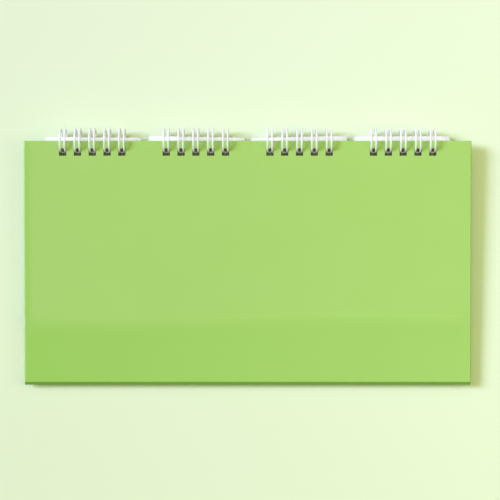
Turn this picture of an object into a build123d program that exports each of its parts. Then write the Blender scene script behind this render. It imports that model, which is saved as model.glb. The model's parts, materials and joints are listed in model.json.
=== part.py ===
from build123d import *
import math
import os

import numpy as np

# Wire-bound day counter on a board stand that folds flat, lying cards down.
# Lengths are in millimetres. The binding frame has x across, y up the panels with 0 at their
# top edge, and q above the wire's ring centre. The whole counter lies tilted by LYING_TILT.
# The packs sit on whole wire pitches that leave PACK_GAP between their cards, and the panels
# reach SIDE_MARGIN beyond the outer cards.

CREASE_Y = -103.2
FOLD_Y = -140.0
FOLD_ROOM = 2.5
NOSE = 1.9
NOSE_ROUND = 0.6
COVER = 0.15
BOARD = 1.4
LINING = 0.15
PANEL = COVER + BOARD + LINING
PANEL_GAP = 1.6
BACK_OUTER = 3.4
BACK_INNER = BACK_OUTER - PANEL
FRONT_INNER = BACK_INNER - PANEL_GAP
FRONT_OUTER = FRONT_INNER - PANEL
GUTTER = 3.0
TURN_IN = 12.0
EDGE_ROUND = 0.7
CUT_PAST = 1.0
LIP_BEVEL = 0.25
LINING_PLAY = 0.1

SLANT = math.sqrt(0.5)

INCH = 25.4
PITCH = INCH / 3.0
LOOPS = 5
PACKS = 4
HOLE = 4.2
HOLE_ROUND = 0.3
PANEL_HOLE_Y = -6.5

WIRE = 1.1
RING_OUTER = 14.3
RING = (RING_OUTER - WIRE) / 2.0
RING_Y = 0.15
LEG = 1.35
ROOT_BEND = 0.8
ROOT_Q = 0.9
TIP_Q = -1.4
LEG_ARCS = 3
GAP_STEPS = 20
GAP_SKIP = 4.0 * WIRE

CARD_WIDTH = 55.2
CARD_HEIGHT = 96.0
CARD = 0.25
CARD_AIR = 0.02
CARD_ROUND = 0.8
HOLE_BELOW_TOP = 6.8
BLOCK_CARDS = 9
BLOCK_Q = -1.75
BLOCK_RISE = 0.85
LEAF_Q = -4.3
LEAF_RISE = (2.2, 2.5, 2.5, 2.9)
LEAF_SKEW = (-0.6, -1.15, 1.45, 0.5)

PACK_GAP = 3.0
SIDE_MARGIN = 11.5
PACK_SPACING = math.ceil((CARD_WIDTH + PACK_GAP) / PITCH) * PITCH
PANEL_WIDTH = (PACKS - 1) * PACK_SPACING + CARD_WIDTH + 2.0 * SIDE_MARGIN

LYING_TILT = 1.55
MID_Q = (BACK_OUTER + FRONT_OUTER) / 2.0
FOLD_END_Y = FOLD_Y + FOLD_ROOM

tilt = math.radians(LYING_TILT)
top_y = RING_Y * math.cos(tilt) + RING_OUTER / 2.0
bottom_y = FOLD_Y * math.cos(tilt) - MID_Q * math.sin(tilt)
ring_low = RING_Y * math.sin(tilt) - RING_OUTER / 2.0
lay = Plane(
    origin=(0, -(top_y + bottom_y) / 2.0, -ring_low),
    x_dir=(1, 0, 0),
    z_dir=(0, -math.sin(tilt), math.cos(tilt)),
)

pack_centres = [PACK_SPACING * (n - (PACKS - 1) / 2.0) for n in range(PACKS)]
loop_offsets = [PITCH * (n - (LOOPS - 1) / 2.0) for n in range(LOOPS)]
hole_spots = [(c + o, PANEL_HOLE_Y) for c in pack_centres for o in loop_offsets]


def side_plane(x):
    """A plane across the counter at x, in which sketches use y and q."""
    return Plane(origin=lay.from_local_coords((x, 0, 0)), x_dir=lay.y_dir, z_dir=(1, 0, 0))


def slab(x_half, y_low, y_high, q):
    """The sketch of a plain rectangle in the binding frame, on its q plane."""
    middle = (y_low + y_high) / 2.0
    with BuildSketch(lay.offset(q)) as flat:
        with Locations((0, middle)):
            Rectangle(2.0 * x_half, y_high - y_low)
    return flat.sketch


def corner_waste(plane, across, up, side, sign, radius):
    """The sketch of what a quarter round takes off the corner (across, up), which points to (side, sign)."""
    past = CUT_PAST
    eased = radius * (1.0 - SLANT)
    with BuildSketch(plane) as waste:
        with BuildLine():
            Polyline(
                (across - side * radius, up),
                (across - side * radius, up + sign * past),
                (across + side * past, up + sign * past),
                (across + side * past, up - sign * radius),
                (across, up - sign * radius),
            )
            ThreePointArc(
                (across, up - sign * radius),
                (across - side * eased, up - sign * eased),
                (across - side * radius, up),
            )
        make_face()
    return waste.sketch


def side_wastes(half, face, sign, radius):
    """What rounding takes off the two long side edges at a panel's outer face, for cutting down from its top."""
    end = Plane(origin=lay.from_local_coords((0, CUT_PAST, 0)), x_dir=(1, 0, 0), z_dir=-lay.y_dir)
    return [corner_waste(end, side * half, face, side, sign, radius) for side in (-1.0, 1.0)]


def save(part, name):
    part.label = name
    export_step(part, f"parts/{name}.step")


def make_panel(name, inner, outer, y_low, y_high, outline, holes, wall_high):
    """Board, cover paper with turn-ins and lining paper of one of the four wrapped boards."""
    sign = 1.0 if outer > inner else -1.0
    half = PANEL_WIDTH / 2.0
    board_inner = inner + sign * LINING
    high = y_high - (COVER if wall_high else 0.0)
    pocket_high = y_high - (TURN_IN if wall_high else 0.0)

    board_outer = outer - sign * COVER
    board_round = EDGE_ROUND - COVER
    side_cut = CUT_PAST - FOLD_Y + CUT_PAST

    with BuildPart() as core:
        extrude(slab(half - COVER, y_low, high, board_inner), amount=sign * BOARD)
        for waste in side_wastes(half - COVER, board_outer, sign, board_round):
            extrude(waste, amount=side_cut, mode=Mode.SUBTRACT)
        if wall_high:
            top_waste = corner_waste(side_plane(-half), high, board_outer, 1.0, sign, board_round)
            extrude(top_waste, amount=PANEL_WIDTH, mode=Mode.SUBTRACT)

    with BuildPart() as board:
        add(core.part)
        if holes:
            with BuildSketch(lay.offset(inner)):
                with Locations(*hole_spots):
                    RectangleRounded(HOLE, HOLE, HOLE_ROUND)
            extrude(amount=sign * PANEL, mode=Mode.SUBTRACT)
    save(board.part, name + "_board")

    with BuildPart() as cover:
        with BuildSketch(side_plane(-half)):
            with BuildLine():
                outline()
            make_face()
        extrude(amount=PANEL_WIDTH)
        for waste in side_wastes(half, outer, sign, EDGE_ROUND):
            extrude(waste, amount=side_cut, mode=Mode.SUBTRACT)
        add(core.part, mode=Mode.SUBTRACT)
        pocket = slab(half - TURN_IN, y_low, pocket_high, inner)
        extrude(pocket, amount=sign * LINING, mode=Mode.SUBTRACT)
        if holes:
            with BuildSketch(lay.offset(inner)):
                with Locations(*hole_spots):
                    RectangleRounded(HOLE, HOLE, HOLE_ROUND)
            extrude(amount=sign * PANEL, mode=Mode.SUBTRACT)
    save(cover.part, name + "_cover")

    with BuildPart() as lining:
        play_high = LINING_PLAY if wall_high else 0.0
        sheet = slab(half - TURN_IN - LINING_PLAY, y_low, pocket_high - play_high, inner)
        extrude(sheet, amount=sign * LINING)
    save(lining.part, name + "_lining")


def main_outline(inner, outer):
    """Section of a front or back panel's cover: a rounded top edge and a lip down to the crease."""
    sign = 1.0 if outer > inner else -1.0
    lip = outer - sign * COVER
    board_end = CREASE_Y + GUTTER
    eased = EDGE_ROUND * (1.0 - SLANT)

    def draw():
        Polyline(
            (-EDGE_ROUND, outer),
            (CREASE_Y, outer),
            (CREASE_Y + LIP_BEVEL, lip),
            (board_end, lip),
            (board_end, inner),
            (0, inner),
            (0, outer - sign * EDGE_ROUND),
        )
        ThreePointArc((0, outer - sign * EDGE_ROUND), (-eased, outer - sign * eased), (-EDGE_ROUND, outer))

    return draw


def base_outline(inner, outer):
    """Section of a base half's cover: a lip up to the crease and half of the blunt nose at the bottom fold.

    The nose's slope runs down to the fold line in mid-thickness, rounded where it leaves the outer face.
    """
    sign = 1.0 if outer > inner else -1.0
    lip = outer - sign * COVER
    board_end = CREASE_Y - GUTTER
    fall = math.atan2(abs(outer - MID_Q), NOSE)
    start = NOSE_ROUND * math.tan(fall / 2.0)
    sag = NOSE_ROUND / math.cos(fall / 2.0) - NOSE_ROUND
    nose_y = FOLD_Y + NOSE
    middle = (nose_y + sag * math.sin(fall / 2.0), outer - sign * sag * math.cos(fall / 2.0))
    down = (nose_y - start * math.cos(fall), outer - sign * start * math.sin(fall))
    skin_y = FOLD_Y + COVER / math.sin(fall)
    skin_nose = (skin_y + abs(lip - MID_Q) / math.tan(fall), lip)

    def draw():
        Polyline(
            (FOLD_END_Y, lip),
            (FOLD_END_Y, inner),
            (board_end, inner),
            (board_end, lip),
            (CREASE_Y - LIP_BEVEL, lip),
            (CREASE_Y, outer),
            (nose_y + start, outer),
        )
        ThreePointArc((nose_y + start, outer), middle, down)
        Polyline(down, (FOLD_Y, MID_Q), (skin_y, MID_Q), skin_nose, (FOLD_END_Y, lip))

    return draw


def ring_point(x, side, degrees):
    """A point on the left (-1) or right (1) leg, its angle turned up from the direction of the holes."""
    turn = math.radians(degrees)
    spot = (x + side * LEG, RING_Y - RING * math.cos(turn), RING * math.sin(turn))
    return lay.from_local_coords(spot)


def along(x, degrees, side, onward):
    """A point in the ring's tangent plane, moved side in x and onward along the ring's turn."""
    turn = math.radians(degrees)
    spot = (
        x + side,
        RING_Y - RING * math.cos(turn) + onward * math.sin(turn),
        RING * math.sin(turn) + onward * math.cos(turn),
    )
    return lay.from_local_coords(spot)


def draw_leg(x, side, stops):
    """One leg of a loop, as arcs of equal turn through every second stop."""
    for a in range(0, len(stops) - 1, 2):
        ThreePointArc(*[ring_point(x, side, stop) for stop in stops[a:a + 3]])


def self_gap(edges):
    """Least gap of a wire to itself, between points more than GAP_SKIP apart along it."""
    spots = []
    for edge in edges:
        curve = edge.geom_adaptor()
        start = curve.FirstParameter()
        step = (curve.LastParameter() - start) / GAP_STEPS
        for n in range(GAP_STEPS):
            spot = curve.Value(start + step * n)
            spots.append((spot.X(), spot.Y(), spot.Z()))
    spots = np.array(spots)
    run = np.concatenate(([0.0], np.linalg.norm(np.diff(spots, axis=0), axis=1).cumsum()))
    apart = np.linalg.norm(spots[:, None, :] - spots[None, :, :], axis=2)
    far = np.abs(run[:, None] - run[None, :]) > GAP_SKIP
    return float(apart[far].min()) - WIRE


def make_wire(name, centre):
    """One unbroken twin-loop wire: legs round the ring, tips in front, and bars from loop to loop."""
    root = math.degrees(math.asin((ROOT_Q + ROOT_BEND) / RING))
    tip = 360.0 + math.degrees(math.asin(TIP_Q / RING))
    halves = 2 * LEG_ARCS
    stops = [root + (tip - root) * n / halves for n in range(halves + 1)]
    middle = (LOOPS - 1) / 2.0
    with BuildPart() as wire:
        with BuildLine() as path:
            for n in range(LOOPS):
                x = centre + PITCH * (n - middle)
                draw_leg(x, -1, stops)
                ThreePointArc(
                    along(x, tip, -LEG, 0),
                    along(x, tip, -LEG * SLANT, LEG * SLANT),
                    along(x, tip, 0, LEG),
                )
                ThreePointArc(
                    along(x, tip, 0, LEG),
                    along(x, tip, LEG * SLANT, LEG * SLANT),
                    along(x, tip, LEG, 0),
                )
                draw_leg(x, 1, stops[::-1])
                if n < LOOPS - 1:
                    bend = ROOT_BEND
                    far = PITCH - LEG
                    ThreePointArc(
                        along(x, root, LEG, 0),
                        along(x, root, LEG + bend * (1 - SLANT), -bend * SLANT),
                        along(x, root, LEG + bend, -bend),
                    )
                    Line(along(x, root, LEG + bend, -bend), along(x, root, far - bend, -bend))
                    ThreePointArc(
                        along(x, root, far - bend, -bend),
                        along(x, root, far - bend * (1 - SLANT), -bend * SLANT),
                        along(x, root, far, 0),
                    )
        with BuildSketch(Plane(origin=path.line @ 0, z_dir=path.line % 0)):
            Circle(WIRE / 2.0)
        sweep(path=path.line)
    save(wire.part, name)
    print(name, "least gap to itself", round(self_gap(path.edges()), 3))


def make_card(name, centre, q, rise, skew):
    """One card, hung on its five holes; q is its inner face and skew its lean in the loops."""
    inner = lay.offset(q)
    hole_y = rise - HOLE_BELOW_TOP
    hung = Plane(
        origin=inner.from_local_coords((centre, hole_y, 0)),
        x_dir=inner.from_local_coords((math.cos(math.radians(skew)), math.sin(math.radians(skew)), 0))
        - inner.origin,
        z_dir=inner.z_dir,
    )
    with BuildPart() as card:
        with BuildSketch(hung):
            with Locations((0, HOLE_BELOW_TOP - CARD_HEIGHT / 2.0)):
                RectangleRounded(CARD_WIDTH, CARD_HEIGHT, CARD_ROUND)
            with Locations(*[(o, 0) for o in loop_offsets]):
                RectangleRounded(HOLE, HOLE, HOLE_ROUND, mode=Mode.SUBTRACT)
        extrude(amount=-CARD)
    save(card.part, name)


os.makedirs("parts", exist_ok=True)

upper_end = CREASE_Y + GUTTER
lower_end = CREASE_Y - GUTTER
make_panel("front", FRONT_INNER, FRONT_OUTER, upper_end, 0.0,
           main_outline(FRONT_INNER, FRONT_OUTER), True, True)
make_panel("back", BACK_INNER, BACK_OUTER, upper_end, 0.0,
           main_outline(BACK_INNER, BACK_OUTER), True, True)
make_panel("base_front", FRONT_INNER, FRONT_OUTER, FOLD_END_Y, lower_end,
           base_outline(FRONT_INNER, FRONT_OUTER), False, False)
make_panel("base_rear", BACK_INNER, BACK_OUTER, FOLD_END_Y, lower_end,
           base_outline(BACK_INNER, BACK_OUTER), False, False)

for pack, centre in enumerate(pack_centres):
    make_wire(f"wire_{pack + 1}", centre)
    make_card(f"pack{pack + 1}_leaf", centre, LEAF_Q, LEAF_RISE[pack], LEAF_SKEW[pack])
    for n in range(BLOCK_CARDS):
        q = BLOCK_Q - (BLOCK_CARDS - 1 - n) * (CARD + CARD_AIR)
        make_card(f"pack{pack + 1}_card_{n + 2:02d}", centre, q, BLOCK_RISE, 0.0)

print("ring centre", lay.from_local_coords((0, RING_Y, 0)))
print("rear crease", lay.from_local_coords((0, CREASE_Y, BACK_OUTER)))
print("front crease", lay.from_local_coords((0, CREASE_Y, FRONT_OUTER)))
print("bottom fold", lay.from_local_coords((0, FOLD_Y, MID_Q)))
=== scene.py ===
"""A wire-bound day counter lying cards down on a pale floor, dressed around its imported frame."""

import json
import math

import bpy
import numpy as np
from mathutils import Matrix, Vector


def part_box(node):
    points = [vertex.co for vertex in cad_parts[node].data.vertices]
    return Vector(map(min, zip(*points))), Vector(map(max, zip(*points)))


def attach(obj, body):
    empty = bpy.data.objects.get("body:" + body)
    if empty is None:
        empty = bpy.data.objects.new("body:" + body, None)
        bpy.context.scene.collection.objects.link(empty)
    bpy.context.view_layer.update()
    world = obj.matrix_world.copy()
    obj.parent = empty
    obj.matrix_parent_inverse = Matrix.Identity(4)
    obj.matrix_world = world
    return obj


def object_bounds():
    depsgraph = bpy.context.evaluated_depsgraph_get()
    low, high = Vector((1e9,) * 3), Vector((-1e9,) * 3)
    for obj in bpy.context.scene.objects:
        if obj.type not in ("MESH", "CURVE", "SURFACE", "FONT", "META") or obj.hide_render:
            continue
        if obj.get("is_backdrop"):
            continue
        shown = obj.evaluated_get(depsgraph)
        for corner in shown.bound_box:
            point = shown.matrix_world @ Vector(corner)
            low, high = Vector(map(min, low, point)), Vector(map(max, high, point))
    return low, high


bl_info = {
    "name": "Wire-bound day counter",
    "version": (1, 0, 0),
    "blender": (4, 5, 0),
    "location": "View3D > Sidebar > Day counter",
    "description": "Dresses the folding day counter: papers, boards, wires, figures and stage",
    "category": "Object",
}

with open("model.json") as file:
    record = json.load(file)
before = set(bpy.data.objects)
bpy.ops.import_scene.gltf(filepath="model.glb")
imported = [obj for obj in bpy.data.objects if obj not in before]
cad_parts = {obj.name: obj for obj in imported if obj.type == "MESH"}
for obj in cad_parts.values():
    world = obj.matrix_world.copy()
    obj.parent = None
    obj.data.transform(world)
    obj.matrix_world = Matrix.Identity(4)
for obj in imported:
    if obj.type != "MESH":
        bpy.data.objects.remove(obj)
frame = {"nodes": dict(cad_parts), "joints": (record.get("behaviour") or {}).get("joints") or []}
cad_low, cad_high = (tuple(corner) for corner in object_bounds())

PACKS = (1, 2, 3, 4)
PANELS = ("front", "back", "base_front", "base_rear")

# Roughness and specular level of each finish.
COVER_FINISH = (0.4, 0.4)
LINING_FINISH = (0.7, 0.2)
BOARD_FINISH = (0.85, 0.1)
CARD_FINISH = (0.5, 0.3)
INK_FINISH = (0.55, 0.2)
FLOOR_FINISH = (0.9, 0.0)
WIRE_SPECULAR = 0.5

# Noise detail of the fine grains and of the broad clouds in the cover paper, and a cloud's width in grains.
GRAIN_DETAIL = 4.0
CLOUD_DETAIL = 2.0
CLOUD_GRAINS = 60.0

# Size of the board's flecks against the paper's grain, and their brightness against the board.
BOARD_COARSENESS = 2.0
BOARD_FLECK = 0.7

# The crest of the ridge wanders about the crease by swing * sin(CREST_WAVES * place + CREST_PHASE),
# where place runs from -1 at the panel's left side to 1 at its right side.
CREST_WAVES = 3.0
CREST_PHASE = 0.1

# The ridge swells by SWELL_MEAN + SWELL_LEAN * place + SWELL_WAVE * sin(SWELL_WAVES * place + SWELL_PHASE).
SWELL_MEAN = 0.55
SWELL_LEAN = 0.35
SWELL_WAVE = 0.15
SWELL_WAVES = 5.0
SWELL_PHASE = -1.6

# Points of a crease sheet across the panel and along it.
SHEET_COLUMNS = 161
SHEET_ROWS = 49

# A face looks down where the upward part of its normal is below this.
LOOKS_DOWN = -0.9

# Font size for a figure of unit height, and the steps of its curves.
FONT_PER_HEIGHT = 1.4
FIGURE_STEPS = 8

SENSOR_WIDTH_MM = 36.0


def rgb(name, words, colour):
    """A colour property with its default written in linear light."""
    return bpy.props.FloatVectorProperty(
        name=name, description=words, default=colour, min=0.0, max=1.0, size=3, subtype="COLOR"
    )


def length(name, words, metres):
    """A length property in metres."""
    return bpy.props.FloatProperty(
        name=name, description=words, default=metres, min=0.0, precision=5, unit="LENGTH"
    )


def share(name, words, value):
    """A property between nought and one."""
    return bpy.props.FloatProperty(name=name, description=words, default=value, min=0.0, max=1.0)


def amount(name, words, value):
    """A property that is never negative."""
    return bpy.props.FloatProperty(name=name, description=words, default=value, min=0.0)


class CounterPapers(bpy.types.PropertyGroup):
    """Colours and grain of the stand's papers and boards."""

    cover: rgb("Cover paper", "Green paper round the boards", (0.375, 0.640, 0.130))
    cover_fibre: rgb("Cover fibre", "Paler fibres in the green paper", (0.415, 0.676, 0.165))
    lining: rgb("Lining paper", "Pale paper inside the stand", (0.67, 0.76, 0.46))
    lining_fibre: rgb("Lining fibre", "Paler fibres in the lining paper", (0.72, 0.80, 0.53))
    board: rgb("Grey board", "Board core seen in the holes and gutters", (0.26, 0.24, 0.20))
    # Painted shade: the cover is a deeper green below the crease and along the panel's left side, more to
    # the left than to the right.
    painted_shade: rgb("Rubbed cover", "Deeper green of the rubbed paper below the crease", (0.334, 0.6265, 0.102))
    painted_shade_left: share("Rubbed left", "Share of the deeper green at the panel's left side", 1.0)
    painted_shade_right: share("Rubbed right", "Share of the deeper green at the panel's right side", 0.25)
    painted_shade_start: length("Rubbed start", "Distance above the crest where the green deepens", 0.007)
    painted_shade_fade: length("Rubbed fade", "Length over which the green deepens at the crease", 0.015)
    painted_shade_side: length("Rubbed side", "Width of the deeper green along the panel's left side", 0.006)
    # Painted shade: the cover darkens to a deep green round the bottom fold.
    fold_shade: rgb("Pressed cover", "Dark green of the paper round the bottom fold", (0.19, 0.46, 0.035))
    fold_shade_start: length("Pressed start", "Height above the fold's end where the green darkens", 0.0019)
    fold_shade_full: length("Pressed full", "Height above the fold's end where the green is darkest", 0.0012)
    grain: length("Grain", "Size of the fine paper grain", 0.0006)
    grain_depth: length("Grain depth", "Height of the fine paper grain", 0.00002)


class CounterCrease(bpy.types.PropertyGroup):
    """The soft swelling of the cover paper along the rear crease."""

    tilt: bpy.props.FloatProperty(
        name="Lying tilt", description="Fall of the panels from the wires down to the fold",
        default=math.radians(1.55), subtype="ANGLE"
    )
    height: length("Ridge height", "Rise of the ridge above the paper", 0.00045)
    swing: length("Crest swing", "How far the ridge's crest wanders above and below the crease", 0.0014)
    rise: length("Ridge rise", "Spread of the ridge above its crest", 0.0032)
    fall: length("Ridge fall", "Spread of the swelling below its crest", 0.008)
    above: length("Reach above", "Reach of the ridge above the crease", 0.0095)
    below: length("Reach below", "Reach of the swelling below the crease", 0.021)
    sink: length("Edge sink", "Depth of the sheet's edges under the paper", 0.00003)
    thickness: length("Sheet thickness", "Thickness of the sheet", 0.00006)
    margin: length("Side margin", "Distance of the sheet from the panel's sides", 0.001)
    side_fade: length("Side fade", "Length over which the ridge fades out at the sides", 0.014)


class CounterWires(bpy.types.PropertyGroup):
    """Finish of the twin-loop wires."""

    coat: rgb("Wire coat", "White nylon coat on the wire", (0.95, 0.95, 0.95))
    coat_thin: rgb("Thin coat", "Coat where it is thinner", (0.90, 0.905, 0.91))
    coat_grain: length("Coat grain", "Size of the small swells in the coat", 0.0005)
    coat_depth: length("Coat depth", "Height of the small swells in the coat", 0.000015)
    gloss: share("Wire roughness", "Roughness of the coat", 0.28)


class CounterCards(bpy.types.PropertyGroup):
    """Finish of the cards and their printed figures."""

    card: rgb("Card", "Smooth white card", (0.97, 0.97, 0.97))
    card_fibre: rgb("Card fibre", "Fibres in the white card", (0.94, 0.94, 0.925))
    card_grain: length("Card grain", "Size of the fine grain of the card", 0.0004)
    card_depth: length("Card grain depth", "Height of the fine grain of the card", 0.000008)
    ink: rgb("Ink", "Dark green ink of the figures", (0.035, 0.085, 0.02))
    ink_thin: rgb("Thin ink", "Ink where it lies thinner on the fibres", (0.055, 0.115, 0.036))
    figure_height: length("Figure height", "Height of a printed figure", 0.046)
    ink_lift: length("Ink lift", "How far the ink stands off the card", 0.00002)
    leaf_figures: bpy.props.StringProperty(
        name="Front figures", description="Figure on the front card of each pack", default="5630"
    )
    next_figures: bpy.props.StringProperty(
        name="Next figures", description="Figure on the card behind it", default="4529"
    )


class CounterStage(bpy.types.PropertyGroup):
    """Floor, light and camera."""

    floor: rgb("Floor", "Pale green floor at the top of the view", (0.825, 0.950, 0.660))
    # Painted shade: the floor's green deepens towards the bottom of the view.
    floor_painted_shade: rgb("Low floor", "Deeper green floor at the bottom of the view", (0.795, 0.920, 0.602))
    floor_half: length("Floor half size", "Half the width of the floor", 3.0)
    camera_height: length("Camera height", "Height of the camera over the floor", 1.0)
    view_width: length("View width", "Width of the frame at the panel", 0.2858)
    aim_x: bpy.props.FloatProperty(
        name="Aim across", description="Frame centre across the panel", default=0.0013, unit="LENGTH"
    )
    aim_y: bpy.props.FloatProperty(
        name="Aim along", description="Frame centre along the panel", default=0.0038, unit="LENGTH"
    )
    key_colour: rgb("Key colour", "Colour of the soft key light", (0.60, 0.61, 1.0))
    key_strength: amount("Key strength", "Strength of the key light", 3.65)
    key_angle: bpy.props.FloatProperty(
        name="Key angle", description="Angular width of the key light", default=0.42, subtype="ANGLE"
    )
    key_from: bpy.props.FloatVectorProperty(
        name="Key from", description="Direction that the key light comes from", default=(-1.28, 0.45, 1.0)
    )
    sky_colour: rgb("Sky colour", "Colour of the soft light from above", (1.0, 0.98, 0.60))
    sky_high: amount("Sky strength", "Strength of the soft light at its middle", 0.98)
    sky_focus: amount("Sky focus", "How far the soft light gathers at its middle", 2.0)
    sky_middle: bpy.props.FloatVectorProperty(
        name="Sky middle", description="Direction of the middle of the soft light",
        default=(-0.1, 0.17, 0.980), subtype="DIRECTION"
    )
    fill_power: amount("Fill power", "Power of the weak light from the right", 0.85)
    fill_from: bpy.props.FloatVectorProperty(
        name="Fill from", description="Where the weak light hangs", default=(0.5, 0.0, 0.45)
    )
    fill_size: length("Fill size", "Width of the weak light", 0.35)


def crease_line():
    """A point of the rear crease, from its joint."""
    return next(joint["pos_m"] for joint in frame["joints"] if joint["name"] == "rear_crease")


def panel_half():
    """Half the width of the panels."""
    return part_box("back_cover")[1][0]


def fresh_material(name):
    """A node material with a Principled shader; returns the material, its tree and the shader."""
    material = bpy.data.materials.new(name)
    material.use_nodes = True
    tree = material.node_tree
    shader = tree.nodes["Principled BSDF"]
    return material, tree, shader


def set_plain(shader, colour, finish):
    """Writes the values that are the same all over a surface on the shader's own sockets."""
    roughness, specular = finish
    shader.inputs["Base Color"].default_value = (*colour, 1.0)
    shader.inputs["Roughness"].default_value = roughness
    shader.inputs["Specular IOR Level"].default_value = specular


def object_point(tree):
    """The Object coordinates of a piece."""
    return tree.nodes.new("ShaderNodeTexCoord").outputs["Object"]


def axes_of(tree, point):
    """The X, Y and Z sockets of a point."""
    parts = tree.nodes.new("ShaderNodeSeparateXYZ")
    tree.links.new(point, parts.inputs["Vector"])
    return parts.outputs


def noise_of(tree, point, size, detail):
    """Noise whose grains are about size metres wide, read at point."""
    noise = tree.nodes.new("ShaderNodeTexNoise")
    noise.inputs["Scale"].default_value = 1.0 / size
    noise.inputs["Detail"].default_value = detail
    tree.links.new(point, noise.inputs["Vector"])
    return noise.outputs["Fac"]


def math_of(tree, kind, *values):
    """One Math node of up to three inputs, each a socket or a number."""
    node = tree.nodes.new("ShaderNodeMath")
    node.operation = kind
    for socket, value in zip(node.inputs, values):
        if isinstance(value, (int, float)):
            socket.default_value = value
        else:
            tree.links.new(value, socket)
    return node.outputs["Value"]


def mixed_colour(tree, factor, first, second):
    """A colour between two, by a factor socket."""
    mix = tree.nodes.new("ShaderNodeMix")
    mix.data_type = "RGBA"
    mix.inputs["A"].default_value = (*first, 1.0)
    mix.inputs["B"].default_value = (*second, 1.0)
    tree.links.new(factor, mix.inputs["Factor"])
    return mix.outputs["Result"]


def bump_of(tree, height, depth):
    """A bump from a height socket, whose full height is depth metres."""
    bump = tree.nodes.new("ShaderNodeBump")
    bump.inputs["Strength"].default_value = 1.0
    bump.inputs["Distance"].default_value = depth
    tree.links.new(height, bump.inputs["Height"])
    return bump.outputs["Normal"]


def soft_step(tree, value, low, high):
    """A smooth step of a value, 0 up to low and 1 from high."""
    step = tree.nodes.new("ShaderNodeMapRange")
    step.interpolation_type = "SMOOTHSTEP"
    step.inputs["From Min"].default_value = low
    step.inputs["From Max"].default_value = high
    tree.links.new(value, step.inputs["Value"])
    return step.outputs["Result"]


def painted_shade_share(tree, axes, papers, swing):
    """How much painted shade the cover paper gets: below the crest and along the left side, less to the
    right.
    """
    half = panel_half()
    wave = math_of(tree, "MULTIPLY_ADD", axes["X"], CREST_WAVES / half, CREST_PHASE)
    crest = math_of(tree, "MULTIPLY", math_of(tree, "SINE", wave), swing)
    above_crest = math_of(tree, "SUBTRACT", axes["Y"], crest)
    top = crease_line()[1] + papers.painted_shade_start
    clear_above = soft_step(tree, above_crest, top - papers.painted_shade_fade, top)
    inside = soft_step(tree, axes["X"], -half, papers.painted_shade_side - half)
    unshaded = math_of(tree, "MULTIPLY", clear_above, inside)
    slope = (papers.painted_shade_right - papers.painted_shade_left) / (2.0 * half)
    middle = (papers.painted_shade_right + papers.painted_shade_left) / 2.0
    # Painted shade is strongest at the left side and weaker to the right.
    shade_weight = math_of(tree, "MULTIPLY_ADD", axes["X"], slope, middle)
    return math_of(tree, "MULTIPLY", math_of(tree, "SUBTRACT", 1.0, unshaded), shade_weight)


def cover_paper(papers, swing):
    """Laminated green paper with a fine grain, with painted shade below the crest and darker painted shade
    at the fold.
    """
    material, tree, shader = fresh_material("green cover paper")
    set_plain(shader, papers.cover, COVER_FINISH)
    point = object_point(tree)
    axes = axes_of(tree, point)
    fibre = noise_of(tree, point, papers.grain, GRAIN_DETAIL)
    cloud = noise_of(tree, point, papers.grain * CLOUD_GRAINS, CLOUD_DETAIL)
    blend = math_of(tree, "MULTIPLY", math_of(tree, "ADD", fibre, cloud), 0.5)
    colour = mixed_colour(tree, blend, papers.cover, papers.cover_fibre)

    # Painted shade: deeper green below the crest and along the left side.
    painted_shade = mixed_colour(tree, painted_shade_share(tree, axes, papers, swing), papers.cover, papers.painted_shade)
    tree.links.new(colour, painted_shade.node.inputs["A"])

    # Painted shade round the bottom fold: darkest near the fold's end.
    fold_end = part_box("base_rear_cover")[0][1]
    darkest = fold_end + papers.fold_shade_full
    lightest = fold_end + papers.fold_shade_start
    fold_shade = mixed_colour(
        tree, soft_step(tree, axes["Y"], darkest, lightest), papers.fold_shade, papers.cover
    )
    tree.links.new(painted_shade, fold_shade.node.inputs["B"])
    tree.links.new(fold_shade, shader.inputs["Base Color"])
    tree.links.new(bump_of(tree, fibre, papers.grain_depth), shader.inputs["Normal"])
    return material


def grained(name, first, second, size, depth, finish):
    """A material that mottles between two colours over grains of one size, with a bump of that grain."""
    material, tree, shader = fresh_material(name)
    set_plain(shader, first, finish)
    grain = noise_of(tree, object_point(tree), size, GRAIN_DETAIL)
    tree.links.new(mixed_colour(tree, grain, first, second), shader.inputs["Base Color"])
    tree.links.new(bump_of(tree, grain, depth), shader.inputs["Normal"])
    return material


def lining_paper(papers):
    """Uncoated pale paper with a fine grain and paler fibres."""
    return grained(
        "uncoated lining paper", papers.lining, papers.lining_fibre,
        papers.grain, papers.grain_depth, LINING_FINISH
    )


def grey_board(papers):
    """Grey board core with coarse flecks."""
    fleck = tuple(channel * BOARD_FLECK for channel in papers.board)
    return grained(
        "grey board core", papers.board, fleck,
        papers.grain * BOARD_COARSENESS, papers.grain_depth * BOARD_COARSENESS, BOARD_FINISH
    )


def coated_wire(wires):
    """White nylon coat with a soft gloss and small swells, as a dipped coat has."""
    return grained(
        "white nylon wire coat", wires.coat, wires.coat_thin,
        wires.coat_grain, wires.coat_depth, (wires.gloss, WIRE_SPECULAR)
    )


def white_card(cards):
    """Smooth white card with a fine grain."""
    return grained(
        "smooth white card", cards.card, cards.card_fibre,
        cards.card_grain, cards.card_depth, CARD_FINISH
    )


def printed_ink(cards):
    """Flat dark ink that lies thinner on the fibres of the card."""
    return grained(
        "dark green ink", cards.ink, cards.ink_thin,
        cards.card_grain, cards.card_depth, INK_FINISH
    )


def floor_paint(stage):
    """Pale floor whose green deepens softly from the top of the view to the bottom, as painted shade."""
    material, tree, shader = fresh_material("pale green floor")
    set_plain(shader, stage.floor, FLOOR_FINISH)
    reach = stage.view_width / 2.0
    # Painted shade: the green deepens towards the bottom of the view.
    upper = soft_step(tree, axes_of(tree, object_point(tree))["Y"], -reach, reach)
    tree.links.new(mixed_colour(tree, upper, stage.floor_painted_shade, stage.floor), shader.inputs["Base Color"])
    return material


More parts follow.
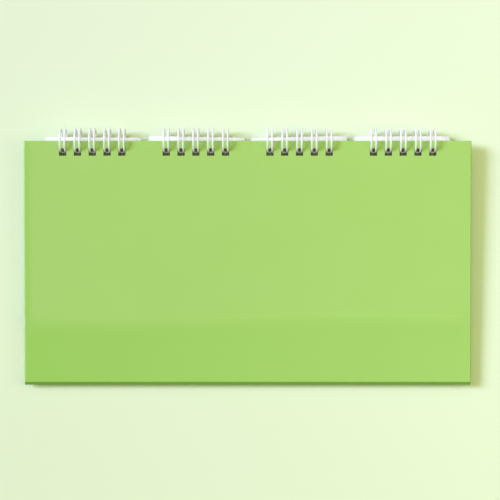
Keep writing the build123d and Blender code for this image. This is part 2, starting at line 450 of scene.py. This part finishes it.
def finish_node(name, material):
    """Gives a CAD node one material."""
    mesh = frame["nodes"][name].data
    mesh.materials.clear()
    mesh.materials.append(material)


def points_of(mesh):
    """A mesh's vertices as rows of x, y and z."""
    points = np.empty(len(mesh.vertices) * 3)
    mesh.vertices.foreach_get("co", points)
    return points.reshape(-1, 3)


def card_front(node):
    """Where a card's front face lies: its middle, its unit vectors across and up, and its way out.

    The way out is the mean normal of the faces that look down. The way up is the direction in which
    the card's points spread the most, turned towards +Y and laid in the front face.
    """
    mesh = frame["nodes"][node].data
    points = points_of(mesh)
    normals = np.array([face.normal for face in mesh.polygons])
    areas = np.array([face.area for face in mesh.polygons])
    down = normals[:, 2] < LOOKS_DOWN
    out = (normals[down] * areas[down, None]).sum(axis=0)
    out /= np.linalg.norm(out)
    centred = points - points.mean(axis=0)
    spreads = np.linalg.eigh(centred.T @ centred)[1]
    up = spreads[:, 2] * np.sign(spreads[1, 2])
    up -= out * (up @ out)
    up /= np.linalg.norm(up)
    across = np.cross(up, out)
    middle = (points.min(axis=0) + points.max(axis=0)) / 2.0
    middle += out * ((points @ out).max() - middle @ out)
    return middle, across, up, out


def add_figure(name, node, body, figure, cards, ink):
    """One printed figure: a text outline made a flat mesh, laid on a card's front face."""
    curve = bpy.data.curves.new(name, "FONT")
    curve.body = figure
    curve.align_x = "CENTER"
    curve.align_y = "CENTER"
    curve.size = cards.figure_height * FONT_PER_HEIGHT
    curve.resolution_u = FIGURE_STEPS
    text = bpy.data.objects.new(name + "_outline", curve)
    bpy.context.scene.collection.objects.link(text)
    mesh = bpy.data.meshes.new_from_object(text.evaluated_get(bpy.context.evaluated_depsgraph_get()))
    bpy.data.objects.remove(text)
    flat = points_of(mesh)
    flat -= (flat.min(axis=0) + flat.max(axis=0)) / 2.0
    middle, across, up, out = card_front(node)
    placed = middle + flat[:, :1] * across + flat[:, 1:2] * up + out * cards.ink_lift
    mesh.vertices.foreach_set("co", placed.ravel())
    mesh.update()
    mesh.materials.clear()
    mesh.materials.append(ink)
    piece = bpy.data.objects.new(name, mesh)
    bpy.context.scene.collection.objects.link(piece)
    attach(piece, body)


def crease_points(crease, low, high):
    """Grid points of a sheet over the cover paper, between distances low and high up from the crease.

    With d the distance up from the crease and x the distance across, the height above the paper is
    height * swell(x) * exp(-((d - crest(x)) / spread) squared) - sink. The spread is the rise above
    the crest and the fall below it. crest(x) is a slow wave about the crease. swell(x) is larger to
    the right and fades out at both sides.
    """
    half = panel_half() - crease.margin
    across, away = np.meshgrid(np.linspace(-half, half, SHEET_COLUMNS), np.linspace(low, high, SHEET_ROWS))
    place = across / panel_half()
    swell = SWELL_MEAN + SWELL_LEAN * place + SWELL_WAVE * np.sin(SWELL_WAVES * place + SWELL_PHASE)
    inside = np.clip((half - np.abs(across)) / crease.side_fade, 0.0, 1.0)
    swell *= inside * inside * (3.0 - 2.0 * inside)
    past = away - crease.swing * np.sin(CREST_WAVES * place + CREST_PHASE)
    spread = np.where(past > 0.0, crease.rise, crease.fall)
    lift = crease.height * swell * np.exp(-((past / spread) ** 2)) - crease.sink
    origin = crease_line()
    along_y, along_z = math.cos(crease.tilt), math.sin(crease.tilt)
    points = np.stack(
        (
            across,
            origin[1] + away * along_y - lift * along_z,
            origin[2] + away * along_z + lift * along_y,
        ),
        axis=-1,
    )
    return points.reshape(-1, 3)


def add_crease_sheet(name, body, crease, low, high, paper):
    """A thin closed sheet over the cover paper beside the rear crease, with sharp edges round its rim."""
    first_corners = np.arange(SHEET_ROWS - 1)[:, None] * SHEET_COLUMNS
    corner = (first_corners + np.arange(SHEET_COLUMNS - 1)[None, :]).ravel()
    faces = np.stack((corner, corner + 1, corner + 1 + SHEET_COLUMNS, corner + SHEET_COLUMNS), axis=1)
    mesh = bpy.data.meshes.new(name)
    mesh.from_pydata(crease_points(crease, low, high).tolist(), [], faces.tolist())
    mesh.shade_smooth()
    for edge in mesh.edges:
        rows, columns = zip(*(divmod(vertex, SHEET_COLUMNS) for vertex in edge.vertices))
        on_end = rows[0] == rows[1] and rows[0] in (0, SHEET_ROWS - 1)
        on_side = columns[0] == columns[1] and columns[0] in (0, SHEET_COLUMNS - 1)
        edge.use_edge_sharp = on_end or on_side
    mesh.materials.append(paper)
    piece = bpy.data.objects.new(name, mesh)
    bpy.context.scene.collection.objects.link(piece)
    solid = piece.modifiers.new("thickness", "SOLIDIFY")
    solid.thickness = crease.thickness
    solid.offset = -1.0
    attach(piece, body)


class COUNTER_OT_papers(bpy.types.Operator):
    """Papers and boards of the four wrapped panels"""

    bl_idname = "counter.papers"
    bl_label = "Dress papers"

    def execute(self, context):
        papers = context.scene.counter_papers
        finishes = {
            "cover": cover_paper(papers, context.scene.counter_crease.swing),
            "lining": lining_paper(papers),
            "board": grey_board(papers),
        }
        for panel in PANELS:
            for layer, material in finishes.items():
                finish_node(f"{panel}_{layer}", material)
        return {"FINISHED"}


class COUNTER_OT_crease(bpy.types.Operator):
    """Soft ridge above the rear crease and the swelling below it"""

    bl_idname = "counter.crease"
    bl_label = "Raise crease"

    def execute(self, context):
        crease = context.scene.counter_crease
        paper = frame["nodes"]["back_cover"].data.materials[0]
        add_crease_sheet("crease_ridge", "back_panel", crease, 0.0, crease.above, paper)
        add_crease_sheet("crease_swelling", "base_rear", crease, -crease.below, 0.0, paper)
        return {"FINISHED"}


class COUNTER_OT_wires(bpy.types.Operator):
    """White coat of the twin-loop wires"""

    bl_idname = "counter.wires"
    bl_label = "Dress wires"

    def execute(self, context):
        material = coated_wire(context.scene.counter_wires)
        for pack in PACKS:
            finish_node(f"wire_{pack}", material)
        return {"FINISHED"}


class COUNTER_OT_cards(bpy.types.Operator):
    """White cards and their printed figures"""

    bl_idname = "counter.cards"
    bl_label = "Dress cards"

    def execute(self, context):
        cards = context.scene.counter_cards
        material = white_card(cards)
        ink = printed_ink(cards)
        for name in frame["nodes"]:
            if name.startswith("pack"):
                finish_node(name, material)
        for index, pack in enumerate(PACKS):
            leaf = f"pack{pack}_leaf"
            add_figure(f"figure_front_{pack}", leaf, leaf, cards.leaf_figures[index], cards, ink)
            behind = f"pack{pack}_card_02"
            block = f"pack{pack}_block"
            add_figure(f"figure_next_{pack}", behind, block, cards.next_figures[index], cards, ink)
        return {"FINISHED"}


def lay_floor(scene, stage):
    """A square of floor under the counter's lowest point."""
    half = stage.floor_half
    ground = cad_low[2]
    corners = [(x, y, ground) for x, y in ((-half, -half), (half, -half), (half, half), (-half, half))]
    mesh = bpy.data.meshes.new("floor")
    mesh.from_pydata(corners, [], [(0, 1, 2, 3)])
    mesh.materials.append(floor_paint(stage))
    floor = bpy.data.objects.new("floor", mesh)
    scene.collection.objects.link(floor)
    floor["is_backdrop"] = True


def light_sky(scene, stage):
    """Soft light that gathers about one direction, with the floor's colour where the sky itself is seen."""
    world = bpy.data.worlds.new("even light")
    scene.world = world
    world.use_nodes = True
    tree = world.node_tree
    sky = tree.nodes["Background"]
    sky.inputs["Color"].default_value = (*stage.sky_colour, 1.0)
    facing = tree.nodes.new("ShaderNodeVectorMath")
    facing.operation = "DOT_PRODUCT"
    facing.inputs[1].default_value = stage.sky_middle
    tree.links.new(tree.nodes.new("ShaderNodeTexCoord").outputs["Generated"], facing.inputs[0])
    near = math_of(tree, "MAXIMUM", facing.outputs["Value"], 0.0)
    strength = math_of(tree, "MULTIPLY", math_of(tree, "POWER", near, stage.sky_focus), stage.sky_high)
    tree.links.new(strength, sky.inputs["Strength"])
    plain = tree.nodes.new("ShaderNodeBackground")
    plain.inputs["Color"].default_value = (*stage.floor, 1.0)
    seen = tree.nodes.new("ShaderNodeMixShader")
    rays = tree.nodes.new("ShaderNodeLightPath").outputs
    shown = math_of(tree, "MAXIMUM", rays["Is Camera Ray"], rays["Is Glossy Ray"])
    shown = math_of(tree, "MAXIMUM", shown, rays["Is Transmission Ray"])
    tree.links.new(shown, seen.inputs["Fac"])
    tree.links.new(sky.outputs["Background"], seen.inputs[1])
    tree.links.new(plain.outputs["Background"], seen.inputs[2])
    tree.links.new(seen.outputs["Shader"], tree.nodes["World Output"].inputs["Surface"])


def hang_light(scene, light, place):
    """Hangs a light at a place, facing the origin."""
    lamp = bpy.data.objects.new(light.name, light)
    lamp.location = place
    lamp.rotation_euler = (-lamp.location).to_track_quat("-Z", "Y").to_euler()
    scene.collection.objects.link(lamp)
    return lamp


def add_lights(scene, stage):
    """The slanted key light and a weak fill from the right."""
    key = bpy.data.lights.new("key", "SUN")
    key.energy = stage.key_strength
    key.color = stage.key_colour
    key.angle = stage.key_angle
    hang_light(scene, key, stage.key_from)

    weak = bpy.data.lights.new("weak fill", "AREA")
    weak.energy = stage.fill_power
    weak.color = stage.sky_colour
    weak.size = stage.fill_size
    fill = hang_light(scene, weak, stage.fill_from)
    fill.visible_camera = False
    fill.visible_glossy = False


def add_camera(scene, stage):
    """A camera straight above, whose frame is view_width wide at the panel's top."""
    camera_data = bpy.data.cameras.new("camera")
    camera_data.sensor_width = SENSOR_WIDTH_MM
    panel_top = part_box("back_cover")[1][2]
    camera_data.lens = SENSOR_WIDTH_MM * (stage.camera_height - panel_top) / stage.view_width
    camera = bpy.data.objects.new("camera", camera_data)
    camera.location = (stage.aim_x, stage.aim_y, stage.camera_height)
    scene.collection.objects.link(camera)
    scene.camera = camera


class COUNTER_OT_stage(bpy.types.Operator):
    """Floor, soft light and camera"""

    bl_idname = "counter.stage"
    bl_label = "Set stage"

    def execute(self, context):
        scene = context.scene
        stage = scene.counter_stage
        lay_floor(scene, stage)
        light_sky(scene, stage)
        add_lights(scene, stage)
        add_camera(scene, stage)
        scene.view_settings.view_transform = "Standard"
        return {"FINISHED"}


class COUNTER_PT_panel(bpy.types.Panel):
    """Lists the counter's steps"""

    bl_label = "Day counter"
    bl_idname = "COUNTER_PT_panel"
    bl_space_type = "VIEW_3D"
    bl_region_type = "UI"
    bl_category = "Day counter"

    def draw(self, context):
        for operator in OPERATORS:
            self.layout.operator(operator.bl_idname)


GROUPS = {
    "counter_papers": CounterPapers,
    "counter_crease": CounterCrease,
    "counter_wires": CounterWires,
    "counter_cards": CounterCards,
    "counter_stage": CounterStage,
}
OPERATORS = (COUNTER_OT_papers, COUNTER_OT_crease, COUNTER_OT_wires, COUNTER_OT_cards, COUNTER_OT_stage)


def register():
    for group in GROUPS.values():
        bpy.utils.register_class(group)
    for kind in (*OPERATORS, COUNTER_PT_panel):
        bpy.utils.register_class(kind)
    for name, group in GROUPS.items():
        setattr(bpy.types.Scene, name, bpy.props.PointerProperty(type=group))


def unregister():
    for name in GROUPS:
        delattr(bpy.types.Scene, name)
    for kind in (COUNTER_PT_panel, *reversed(OPERATORS), *reversed(GROUPS.values())):
        bpy.utils.unregister_class(kind)


def main():
    register()
    bpy.ops.counter.papers()
    bpy.ops.counter.crease()
    bpy.ops.counter.wires()
    bpy.ops.counter.cards()
    bpy.ops.counter.stage()


if __name__ == "__main__":
    main()
